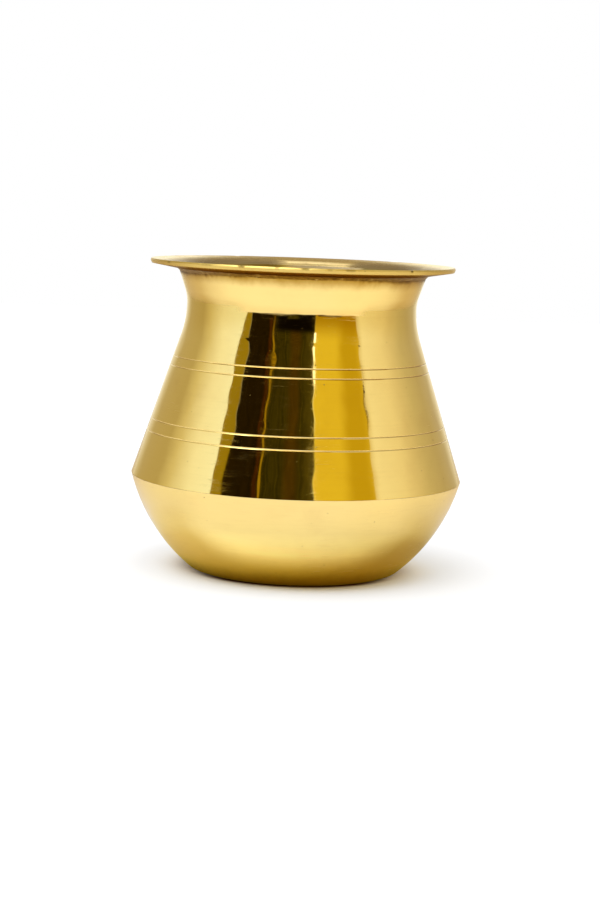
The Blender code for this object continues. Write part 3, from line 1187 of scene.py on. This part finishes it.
@dataclass
class LowerBowl(TurnedPiece):
    """The spun bowl: a dished foot, a round belly and the lip that laps inside the body."""

    bowl_curve: float = 51.0 * MM
    base_radius: float = 30.5 * MM
    base_round: float = 2.5 * MM
    foot_width: float = 3.0 * MM
    dish_depth: float = 0.9 * MM
    lip_thickness: float = 0.8 * MM
    lip_gap: float = 0.3 * MM
    joggle_drop: float = 3.0 * MM
    seam: float = 0.001 * MM
    straight_top: float = 0.3 * MM
    shoulder_round: float = 0.004 * MM
    joggle_round: float = 1.0 * MM
    lip_round: float = 0.2 * MM
    step_round: float = 0.05 * MM
    outside_spacing: float = 1.0 * MM
    inside_spacing: float = 2.5 * MM

    OUTSIDE, INSIDE, UNDER = range(3)

    def bowl_centre(self) -> tuple[float, float]:
        """Find the centre of the belly's curve, which runs from the shoulder to the edge of the base.

        Returns:
            Its radius and height.
        """
        across, up = SIZES.shoulder_radius - self.base_radius, SIZES.shoulder_height
        chord = math.hypot(across, up)
        reach = math.sqrt(self.bowl_curve ** 2 - (chord / 2.0) ** 2)
        middle = (SIZES.shoulder_radius + self.base_radius) / 2.0
        return middle - reach * up / chord, up / 2.0 + reach * across / chord

    def wall_corners(self, inset: float, top: float, finish: int, spacing: float) -> list[Corner]:
        """Give the corners whose roundings are the belly and the turn into the foot.

        The two tangents at the ends of an arc meet on its middle direction, at its radius over the
        cosine of half its sweep. The belly's curve ends a little below the top and runs on straight.

        Args:
            inset: How far the wall is set in from the outside.
            top: Height at which the belly's curve ends.
            finish: Finish number of this side.
            spacing: Distance between points.

        Returns:
            The belly's upper end, its corner, the foot's corner, and the start of the flat foot.
        """
        centre, level = self.bowl_centre()
        curve, turn = self.bowl_curve - inset, self.base_round - inset
        across = math.sqrt((self.bowl_curve - self.base_round) ** 2 - (level - self.base_round) ** 2)
        start = math.asin((level - top + self.straight_top) / curve)
        end = math.atan2(level - self.base_round, across)
        belly_reach = curve / math.cos((end - start) / 2.0)
        belly_way = (start + end) / 2.0
        foot_reach = turn / math.cos((QUARTER_TURN - end) / 2.0)
        foot_way = (end + QUARTER_TURN) / 2.0
        foot = centre + across
        return [
            Corner(centre + curve * math.cos(start) + self.straight_top * math.tan(start), top,
                   self.shoulder_round, finish, spacing),
            Corner(centre + belly_reach * math.cos(belly_way), level - belly_reach * math.sin(belly_way),
                   curve, finish, spacing),
            Corner(foot + foot_reach * math.cos(foot_way), self.base_round - foot_reach * math.sin(foot_way),
                   turn, finish, spacing),
            Corner(foot, inset, 0.0, finish, spacing),
        ]

    def section(self) -> Section:
        """Go from the axis inside out and up to the lip, over it, and down the outside to the axis.

        Returns:
            The section, open at the axis.
        """
        step, wall = SIZES.shoulder_height - self.seam, SIZES.wall
        inside = partial(Corner, finish=self.INSIDE, spacing=self.inside_spacing)
        under = partial(Corner, finish=self.UNDER, spacing=self.inside_spacing)
        outer = self.wall_corners(0.0, step, self.OUTSIDE, self.outside_spacing)
        inner = self.wall_corners(wall, step - self.joggle_drop, self.INSIDE, self.inside_spacing)
        foot = outer[3].radius - self.foot_width
        dome = (foot ** 2 + self.dish_depth ** 2) / (2.0 * self.dish_depth)
        lip_out = wall + self.lip_gap
        lip_in = lip_out + self.lip_thickness
        corners = [
            inside(0.0, wall + self.dish_depth, 0.0),
            inside(foot / 2.0, wall + self.dish_depth, dome),
            inside(foot, wall, 0.0),
            *reversed(inner[:3]),
            inside(SIZES.cone_radius(step, lip_in), step, self.joggle_round),
            inside(SIZES.cone_radius(SIZES.lip_top, lip_in), SIZES.lip_top, self.lip_round),
            inside(SIZES.cone_radius(SIZES.lip_top, lip_out), SIZES.lip_top, self.lip_round),
            inside(SIZES.cone_radius(step, lip_out), step, self.step_round),
            *outer[:3],
            under(outer[3].radius, 0.0, 0.0, spacing=self.outside_spacing),
            under(foot, 0.0, 0.0, spacing=self.outside_spacing),
            under(foot / 2.0, self.dish_depth, dome),
            under(0.0, self.dish_depth, 0.0),
        ]
        return Section.rounded(corners, closed=False)


@dataclass
class RimFlange(TurnedPiece):
    """The dished ring round the mouth, slightly hollow on top, with broken edges."""

    bore_gap: float = 0.01 * MM
    seam_round: float = 0.01 * MM
    edge_round: float = 0.12 * MM
    edge_spacing: float = 0.2 * MM
    ridge_drop: float = 0.50 * MM
    lower_bevel: float = 0.36 * MM
    under_round: float = 0.05 * MM
    hollow_steps: int = 5
    hollow_round: float = 24.0 * MM
    top_spacing: float = 0.5 * MM

    TOP, EDGE, UNDER = range(3)

    def section(self) -> Section:
        """Go over the two bevels of the edge, in along the underside, up the bore and out on top.

        The top's hollow is a row of corners on its curve, rounded until they run together.

        Returns:
            The section.
        """
        inner, lower = SIZES.rim_radius - SIZES.rim_break, SIZES.rim_radius - self.lower_bevel
        bore = SIZES.flare_meets_rim(-self.bore_gap, 0.0)[0]
        fall = float(SIZES.rim_hollow(bore))
        radii = np.linspace(bore, SIZES.hollow_edge, self.hollow_steps)[1:]
        heights = SIZES.rim_top(radii) - SIZES.rim_hollow(radii)
        edge = partial(Corner, rounding=self.edge_round, finish=self.EDGE, spacing=self.edge_spacing)
        top = partial(Corner, finish=self.TOP, spacing=self.top_spacing)
        return Section.rounded([
            edge(inner, SIZES.height),
            edge(SIZES.rim_radius, SIZES.height - self.ridge_drop),
            Corner(lower, SIZES.rim_top(lower) - SIZES.rim_drop, self.edge_round, self.UNDER),
            Corner(*SIZES.flare_meets_rim(-self.bore_gap, SIZES.rim_drop), self.under_round, self.UNDER),
            top(*SIZES.flare_meets_rim(-self.bore_gap, fall), self.seam_round),
            *(top(float(radius), float(height), self.hollow_round) for radius, height in zip(radii, heights)),
        ])


@dataclass
class BrazeFillet(TurnedPiece):
    """A hollow-faced fillet of braze, sunk a little into both of its walls, all of one finish."""

    leg: float = 1.0 * MM
    sunk: float = 0.08 * MM
    corner_round: float = 0.02 * MM
    spacing: float = 0.2 * MM
    face_out: float = 0.3
    face_up: float = 0.2
    hollow: float = 0.4

    def corner(self, radius: float, height: float) -> Corner:
        """Give a corner of the fillet, hardly rounded."""
        return Corner(radius, height, self.corner_round, spacing=self.spacing)

    def face(self, radius: float, height: float) -> Corner:
        """Give the corner whose wide rounding is the hollow face."""
        return Corner(radius, height, self.hollow * self.leg, spacing=self.spacing)


@dataclass
class RimBraze(BrazeFillet):
    """The fillet of braze between the rim's underside and the neck."""

    leg: float = 0.85 * MM
    hollow: float = 0.5

    def section(self) -> Section:
        """Go down the hollow face from the rim to the neck, and round behind it.

        Returns:
            The section.
        """
        radius, height = SIZES.flare_meets_rim(0.0, SIZES.rim_drop)
        low = height - self.leg
        rise = self.leg * math.tan(SIZES.rim_dish)
        return Section.rounded([
            self.corner(radius + self.leg, height + rise + self.sunk),
            self.face(radius + self.face_out * self.leg, height - self.face_up * self.leg),
            self.corner(SIZES.flare_radius(low) - self.sunk, low),
            self.corner(radius - self.sunk, height + self.sunk),
        ])


@dataclass
class ShoulderBraze(BrazeFillet):
    """The fillet of braze inside the pot, on the bowl's lip and against the body's wall."""

    def section(self) -> Section:
        """Go down against the wall, in along the lip, and back up the hollow face.

        Returns:
            The section.
        """
        level, top = SIZES.lip_top, SIZES.lip_top + self.leg
        wall = SIZES.cone_radius(level, SIZES.wall)
        return Section.rounded([
            self.corner(SIZES.cone_radius(top, SIZES.wall) + self.sunk, top),
            self.corner(wall + self.sunk, level - self.sunk),
            self.corner(wall - self.leg, level - self.sunk),
            self.face(wall - self.face_out * self.leg, level + self.face_up * self.leg),
        ])


class Direction:
    """Where light comes from, as shader numbers: degrees right of the camera and up from level."""

    def __init__(self, graph: Graph) -> None:
        """Read the direction and work out its two angles.

        Args:
            graph: The world's graph.
        """
        self.graph = graph
        self.x, self.y, self.z = graph.coordinates("Generated")
        self.azimuth = graph.math("ARCTAN2", self.x, 0.0 - self.y) * math.degrees(1.0)
        self.elevation = graph.math("ARCSINE", self.z) * math.degrees(1.0)

    def marks(self, across: float, up: float) -> bpy.types.NodeSocket:
        """Give noise coordinates of one unit to so many degrees across and up."""
        return self.graph.vector(self.azimuth / across, self.elevation / up, 0.0)


@dataclass(frozen=True)
class Panel:
    """An upright strip of the surroundings, in degrees right of the camera and up from level.

    Each side may lean: it moves by its lean for every degree up. A panel with a foot starts in the
    foot's colour at level and reaches its own at foot_high.
    """

    left: float
    right: float
    colour: Colour
    low: float = -8.0
    high: float = 58.0
    soft: float = 0.5
    left_lean: float = 0.0
    right_lean: float = 0.0
    foot: Colour | None = None
    foot_high: float = 27.0

    def mirrored(self) -> "Panel":
        """Give the same panel on the other side of the camera."""
        return replace(self, left=-self.right, right=-self.left, left_lean=-self.right_lean,
                       right_lean=-self.left_lean)

    def mask(self, way: Direction) -> Signal:
        """Be 1 on the panel and 0 off it.

        Args:
            way: Where the light comes from.

        Returns:
            The mask.
        """
        from_left = way.azimuth - way.elevation * self.left_lean
        from_right = way.azimuth - way.elevation * self.right_lean
        across = from_left.rise(self.left - self.soft, self.left + self.soft)
        across = across * (1.0 - from_right.rise(self.right - self.soft, self.right + self.soft))
        return across * way.elevation.between(self.low, self.high, self.soft)

    def paint(self, colour: bpy.types.NodeSocket, way: Direction) -> bpy.types.NodeSocket:
        """Paint the panel over a colour.

        Args:
            colour: What lies behind it.
            way: Where the light comes from.

        Returns:
            The colour with the panel on it.
        """
        shown = self.colour
        if self.foot is not None:
            shown = way.graph.mix(way.elevation.rise(0.0, self.foot_high), self.foot, shown)
        return way.graph.mix(self.mask(way), colour, shown)


@dataclass(frozen=True)
class LightTent:
    """A white tent round the pot, as light that depends on direction alone.

    Its walls change colour round the pot, are warmer near the floor and pass into a grey ceiling. In
    front they open on a dark room, and panels stand before both. A lamp hangs overhead. Surfaces that
    scatter light get more of it from behind, and the camera itself sees plain white.
    """

    wall_stops: Stops = (
        (-180.0, (1.30, 1.33, 1.38)), (-163.0, (1.00, 0.99, 0.97)), (-143.0, (0.58, 0.51, 0.35)),
        (-113.0, (0.53, 0.46, 0.29)), (-101.0, (0.74, 0.68, 0.50)), (-82.0, (1.02, 1.06, 1.12)),
        (-63.0, (1.06, 1.16, 1.34)), (0.0, (1.05, 1.08, 1.10)), (58.0, (1.03, 1.00, 0.90)),
        (86.0, (0.92, 0.85, 0.70)), (97.0, (0.78, 0.70, 0.55)), (112.0, (0.63, 0.57, 0.43)),
        (128.0, (0.56, 0.50, 0.38)), (146.0, (0.60, 0.55, 0.48)), (163.0, (1.00, 0.99, 0.97)),
        (180.0, (1.30, 1.33, 1.38)))
    ceiling: Colour = (0.80, 0.83, 0.88)
    ceiling_low: float = 38.0
    ceiling_high: float = 66.0
    opening: Panel = Panel(-49.5, 13.8, (0.046, 0.036, 0.0025), left_lean=-0.12)
    streak_colour: Colour = (0.094, 0.078, 0.006)
    streak_size: Pair = (2.4, 40.0)
    mottle_size: Pair = (5.0, 0.5)
    mottle_share: float = 0.5
    room: tuple[Panel, ...] = (
        # Browns and olives from left to right, black towards the floor, and one paler patch there.
        Panel(-50.0, -27.0, (0.021, 0.012, 0.0012), soft=0.8, left_lean=-0.12, right_lean=-0.05),
        Panel(-30.3, -27.3, (0.072, 0.023, 0.001), low=4.0, soft=1.2, left_lean=-0.05, right_lean=-0.05),
        Panel(-9.0, 0.0, (0.086, 0.048, 0.003), low=10.0, soft=3.0),
        Panel(5.5, 14.0, (0.096, 0.076, 0.009), low=17.0, soft=2.5),
        Panel(-24.0, 12.5, (0.005, 0.003, 0.0015), high=17.0, soft=4.0),
        Panel(-13.0, -2.5, (0.060, 0.052, 0.006), low=0.2, high=4.0, soft=0.8),
    )
    panels: tuple[Panel, ...] = (
        # A bright line inside the opening, a strip at its left side, and a dark wedge beside that.
        Panel(-26.4, -24.9, (0.36, 0.23, 0.010), soft=0.3, left_lean=-0.05, right_lean=-0.05,
              foot=(0.10, 0.05, 0.003)),
        Panel(-55.0, -49.5, (0.33, 0.24, 0.014), soft=0.4, left_lean=-0.33, right_lean=-0.12),
        Panel(-83.1, -50.5, (0.018, 0.010, 0.001), low=22.0, high=26.0, soft=0.3, left_lean=1.2),
        # The gold strip at its right side, deeper to the right, with dark dashes and a dark foot.
        Panel(13.6, 54.5, (0.82, 0.63, 0.056), soft=0.4, right_lean=0.22, foot=(0.44, 0.27, 0.006)),
        Panel(39.0, 54.5, (0.60, 0.42, 0.015), soft=6.0, left_lean=0.02, right_lean=0.22,
              foot=(0.42, 0.24, 0.002)),
        Panel(59.8, 61.7, (0.01, 0.005, 0.001), low=25.2, high=26.2, soft=0.1),
        Panel(58.9, 60.7, (0.01, 0.005, 0.001), low=25.12, high=25.3, soft=0.05),
        Panel(16.0, 40.0, (0.05, 0.02, 0.004), low=-0.6, high=0.9, soft=0.4),
        # Sparks along the edge between the dark and the gold.
        Panel(13.6, 14.4, (0.95, 0.85, 0.45), low=29.3, high=31.2, soft=0.3),
        Panel(13.2, 15.0, (2.6, 2.7, 2.8), low=17.0, high=26.8, soft=0.35),
        Panel(13.2, 15.0, (2.8, 2.9, 3.0), low=31.2, high=34.0, soft=0.35),
    )
    back: tuple[Panel, ...] = (
        # The shaded wall behind the pot with a bright band in it, each met by its mirror image.
        Panel(145.0, 200.0, (0.41, 0.33, 0.205), low=16.5, high=46.0, soft=3.0),
        Panel(168.0, 200.0, (1.30, 1.26, 1.22), low=31.0, high=37.5, soft=2.0),
    )
    low_wall: Colour = (0.91, 0.87, 0.74)
    low_wall_high: float = 20.0
    lamp_azimuth: float = math.radians(-55.0)
    lamp_elevation: float = math.radians(70.0)
    lamp_reach: float = math.radians(24.0)
    lamp_soft: float = math.radians(6.0)
    lamp: Colour = (4.1, 4.2, 4.4)
    fill_side: Pair = (80.0, 115.0)
    fill_top: Pair = (50.0, 64.0)
    fill: Colour = (1.60, 1.72, 1.95)

    def walls(self, way: Direction) -> bpy.types.NodeSocket:
        """Paint the walls and the ceiling.

        Args:
            way: Where the light comes from.

        Returns:
            Their colour.
        """
        graph = way.graph
        warmed = graph.mix(way.elevation.rise(0.0, self.low_wall_high), self.low_wall, WHITE)
        colour = graph.tint(graph.ramp(way.azimuth, self.wall_stops), warmed)
        return graph.mix(way.elevation.rise(self.ceiling_low, self.ceiling_high), colour, self.ceiling)

    def dark_room(self, way: Direction) -> bpy.types.NodeSocket:
        """Paint the room behind the opening: upright streaks, then its panels, all finely mottled.

        Args:
            way: Where the light comes from.

        Returns:
            The room's colour.
        """
        graph = way.graph
        streaks = graph.noise(way.marks(*self.streak_size), 3.0, 0.6).rise(0.45, 0.75)
        colour = graph.mix(streaks, self.opening.colour, self.streak_colour)
        for panel in self.room:
            colour = panel.paint(colour, way)
        mottle = graph.noise(way.marks(*self.mottle_size)).rise(0.30, 0.70)
        return graph.mix(mottle * self.mottle_share, colour, BLACK)

    def lamp_mask(self, way: Direction) -> Signal:
        """Be 1 within the overhead lamp's reach, from the cosine of the angle to it.

        Args:
            way: Where the light comes from.

        Returns:
            The mask.
        """
        level = math.cos(self.lamp_elevation)
        cosine = way.x * (level * math.sin(self.lamp_azimuth))
        cosine = cosine - way.y * (level * math.cos(self.lamp_azimuth))
        cosine = cosine + way.z * math.sin(self.lamp_elevation)
        outside, inside = self.lamp_reach + self.lamp_soft, self.lamp_reach - self.lamp_soft
        return cosine.rise(math.cos(outside), math.cos(inside))

    def build(self) -> None:
        """Make the tent the world's light."""
        world = bpy.data.worlds.new("light_tent")
        bpy.context.scene.world = world
        graph = Graph.of(world)
        way = Direction(graph)
        colour = graph.mix(self.opening.mask(way), self.walls(way), self.dark_room(way))
        for panel in self.panels:
            colour = panel.paint(colour, way)
        for panel in self.back:
            colour = panel.mirrored().paint(panel.paint(colour, way), way)
        colour = graph.mix(self.lamp_mask(way), colour, self.lamp)
        behind = abs(way.azimuth).rise(*self.fill_side) * (1.0 - way.elevation.rise(*self.fill_top))
        colour = graph.mix(behind * graph.ray("Is Diffuse Ray"), colour, self.fill)
        colour = graph.mix(graph.ray("Is Camera Ray"), colour, WHITE)
        light = graph.node("ShaderNodeBackground", {}, {"Color": colour, "Strength": 1.0})
        graph.node("ShaderNodeOutputWorld", {}, {"Surface": light.outputs[0]})


@dataclass(frozen=True)
class PaperFloor:
    """White paper under the pot, which keeps the pot's shadow.

    To the camera it is white but for a painted contact shadow, a dark line before the foot, and a painted
    glow, dimmer towards the foot, lightens its shadow outside the foot. In the brass it is white in front
    of the pot, where the light falls, with painted shade dimmer behind, painted shade and brass-coloured
    painted light in rings round the foot and warmer painted shade to the right, and it fades into the
    tent's walls at the sides. Light that the paper has already scattered sees its plain shade.
    """

    front: float = -5.0
    back: float = 1.2
    half_width: float = 5.0
    shade: Colour = (0.80, 0.80, 0.80)
    white: Colour = (0.98, 0.98, 1.00)
    mirrored_front: Colour = (0.86, 0.885, 0.95)
    # Painted shade: as the brass sees it, the paper is dimmer behind the pot.
    mirrored_back_shaded: Colour = (0.58, 0.52, 0.41)
    dim_depth: Pair = (-0.06, 0.13)
    fade_edge: Pair = (-0.58, -0.34)
    fade_reach: Pair = (0.25, 0.85)
    # Painted shade and brass-coloured painted light round the foot, by distance from the axis.
    painted_shading_before_pot: Stops = (
        (31.0 * MM, (1.05, 1.00, 0.15)), (35.0 * MM, (1.05, 0.92, 0.26)), (38.0 * MM, (1.25, 1.18, 0.74)),
        (42.0 * MM, (1.40, 1.42, 1.28)), (47.0 * MM, (1.18, 1.22, 1.22)), (53.0 * MM, (1.00, 1.00, 1.03)),
        (70.0 * MM, (0.97, 0.93, 0.95)), (130.0 * MM, (0.97, 0.90, 0.84)), (600.0 * MM, (0.92, 0.80, 0.71)))
    painted_shading_beside_pot: Stops = (
        (31.0 * MM, (1.00, 0.90, 0.14)), (35.0 * MM, (0.95, 0.80, 0.28)), (38.0 * MM, (0.90, 0.76, 0.38)),
        (42.0 * MM, (0.84, 0.72, 0.42)), (47.0 * MM, (0.80, 0.70, 0.46)), (53.0 * MM, (0.83, 0.77, 0.60)),
        (70.0 * MM, (0.86, 0.82, 0.80)), (130.0 * MM, (0.95, 0.89, 0.82)), (300.0 * MM, (0.80, 0.72, 0.62)))
    beside_edge: Pair = (-1.0, -0.55)
    beside_lean: float = 0.06
    spread_reach: Pair = (42.0 * MM, 54.0 * MM)
    spread_slope: float = 25.0
    # Painted contact shadow: a dark line on the paper before the foot, seen by the camera.
    painted_contact_shadow: Colour = (0.12, 0.045, 0.012)
    contact_shadow_reach: Pair = (31.0 * MM, 34.0 * MM)
    contact_shadow_front: Pair = (0.30, 0.85)
    # Painted glow for the camera, dimmer towards the foot, which lightens the shadow round the pot.
    painted_glow_reach: Pair = (31.0 * MM, 46.0 * MM)
    painted_glow_share: float = 0.62
    painted_glow: Stops = (
        (34.0 * MM, (0.76, 0.76, 0.76)), (44.0 * MM, (0.85, 0.85, 0.85)), (50.0 * MM, (0.90, 0.90, 0.90)),
        (58.0 * MM, (0.97, 0.97, 0.97)), (66.0 * MM, (1.0, 1.0, 1.0)))
    painted_glow_shift: float = 10.0 * MM
    # Painted shade, darker and warmer, to the right near the pot.
    painted_shade_near_right: Colour = (0.88, 0.84, 0.72)
    painted_shade_far_right: Colour = (1.00, 0.97, 0.90)
    right_reach: Pair = (42.0 * MM, 60.0 * MM)
    right_edge: Pair = (0.2, 0.8)

    def mirrored(self, place: TurnedPlace) -> bpy.types.NodeSocket:
        """Paint what the brass sees of the paper: painted shade dimmer behind, painted shade and
        brass-coloured painted light in rings round the foot, warmer painted shade to the right.

        Args:
            place: The paper's coordinates.

        Returns:
            The colour.
        """
        graph = place.graph
        colour = graph.mix(place.y.rise(*self.dim_depth), self.mirrored_front, self.mirrored_back_shaded)
        nearest, farthest = self.spread_reach
        spread = (graph.math("MINIMUM", place.radius, farthest) - nearest) * self.spread_slope
        beside = (place.depth - spread - place.across * self.beside_lean).rise(*self.beside_edge)
        rings = graph.mix(beside, graph.ramp(place.radius, self.painted_shading_before_pot),
                          graph.ramp(place.radius, self.painted_shading_beside_pot))
        right = graph.mix(place.radius.rise(*self.right_reach), self.painted_shade_near_right, self.painted_shade_far_right)
        right = graph.mix(place.across.rise(*self.right_edge), WHITE, right)
        return graph.tint(graph.tint(colour, rings), right)

    def material(self) -> bpy.types.Material:
        """Build the paper's look for each kind of ray.

        Returns:
            The material.
        """
        material = bpy.data.materials.new("white_paper")
        graph = Graph.of(material)
        place = TurnedPlace(graph)
        camera, glossy = graph.ray("Is Camera Ray"), graph.ray("Is Glossy Ray")
        fresh = 1.0 - graph.ray("Diffuse Depth").rise(0.0, 1.0)
        by_brass = (glossy + graph.ray("Is Transmission Ray")) * fresh
        colour = graph.mix(by_brass, self.shade, self.mirrored(place))
        # Painted contact shadow, a dark line before the foot, for camera rays.
        before = (0.0 - place.depth).rise(*self.contact_shadow_front)
        contact_shadow = (1.0 - place.radius.rise(*self.contact_shadow_reach)) * before
        colour = graph.mix(camera, colour, graph.mix(contact_shadow, self.white, self.painted_contact_shadow))
        paper = graph.node("ShaderNodeBsdfDiffuse", {}, {"Color": colour})
        clear = graph.node("ShaderNodeBsdfTransparent", {}, {})
        to_sides = place.depth.rise(*self.fade_edge) * place.radius.rise(*self.fade_reach)
        faded = graph.mix_shaders(to_sides * glossy, paper, clear)
        # Painted glow seen by the camera: it lightens the paper's shadow, less near the foot.
        lean = place.radius - place.depth * self.painted_glow_shift
        glow = graph.node("ShaderNodeEmission", {}, {"Color": graph.ramp(lean, self.painted_glow)})
        painted_glow_mix = place.radius.rise(*self.painted_glow_reach) * self.painted_glow_share
        surface = graph.mix_shaders(painted_glow_mix * camera, faded, glow)
        graph.node("ShaderNodeOutputMaterial", {}, {"Surface": surface.outputs[0]})
        return material

    def build(self) -> None:
        """Lay the paper."""
        mesh = bpy.data.meshes.new("paper_floor")
        left, right = -self.half_width, self.half_width
        corners = [(left, self.front, 0.0), (right, self.front, 0.0), (right, self.back, 0.0),
                   (left, self.back, 0.0)]
        mesh.from_pydata(corners, [], [(0, 1, 2, 3)])
        floor = bpy.data.objects.new("paper_floor", mesh)
        bpy.context.scene.collection.objects.link(floor)
        mesh.materials.append(self.material())


@dataclass(frozen=True)
class StillCamera:
    """The camera at the photograph's viewing angle."""

    place: tuple[float, float, float] = (0.00098, -0.5569, 0.10816)
    pitch_down: float = math.radians(7.555)
    roll: float = math.radians(2.067)
    lens: float = 76.81
    sensor: float = 36.0
    clip_start: float = 0.01

    def build(self) -> None:
        """Set the camera up and make it the scene's."""
        data = bpy.data.cameras.new("still_camera")
        data.lens = self.lens
        data.sensor_width = self.sensor
        data.clip_start = self.clip_start
        camera = bpy.data.objects.new("still_camera", data)
        bpy.context.scene.collection.objects.link(camera)
        camera.location = Vector(self.place)
        tilt = Euler((QUARTER_TURN - self.pitch_down, 0.0, 0.0)).to_matrix()
        camera.rotation_euler = (tilt @ Euler((0.0, 0.0, self.roll)).to_matrix()).to_euler()
        bpy.context.scene.camera = camera


def main() -> None:
    """Build the studio and the pot, piece by piece."""
    logging.basicConfig(level=logging.INFO, format="%(name)s: %(message)s")
    bpy.context.scene.view_settings.view_transform = "Standard"
    StillCamera().build()
    LightTent().build()
    PaperFloor().build()
    inside = InsideFinish("tarnished_inside", gloss=0.22, line_dulling=0.15, line_pitch=0.9 * MM,
                          line_depth=0.004 * MM)
    satin = RimFinish("satin_rim", colour=(0.88, 0.70, 0.32), gloss=0.10, line_dulling=0.12,
                      edge_tint=(1.0, 0.94, 0.76))
    body = BodyFinish("polished_body", gloss=0.035, line_dulling=0.05, smudge_dulling=0.025)
    # Painted shade darkens the bowl near the floor.
    bowl = BowlFinish("polished_bowl", line_wander=7.0, line_tint=0.4)
    foot = FootFinish("turned_foot", gloss=0.2, line_pitch=0.8 * MM, line_depth=0.004 * MM)
    edge = EdgeFinish("worn_rim_edge", colour=(0.71, 0.515, 0.143), smudged=(0.62, 0.43, 0.107), gloss=0.30)
    # Burnt flux with painted shade on the rim's underside.
    burnt_flux_and_shade = BurntShadedFinish("burnt_shaded_underside", gloss=0.16, edge_tint=(0.55, 0.36, 0.08))
    rim_spelter, shoulder_spelter = BrazeFinish("rim_spelter"), BrazeFinish("shoulder_spelter")
    running = BrazeRunning()
    pieces = (
        LowerBowl("lower_bowl", Slot.POLISHED, (bowl, inside, foot)),
        UpperBody("upper_body", Slot.POLISHED, (body, inside, satin), relief=UNEVEN, segments=600),
        RimFlange("rim_flange", Slot.RIM, (satin, edge, burnt_flux_and_shade), relief=RimWear(), segments=1080),
        RimBraze("rim_braze", Slot.BRAZE, (rim_spelter,), relief=running, segments=720),
        ShoulderBraze("shoulder_braze", Slot.BRAZE, (shoulder_spelter,), relief=running, segments=720),
    )
    for piece in pieces:
        piece.build()


if __name__ == "__main__":
    main()
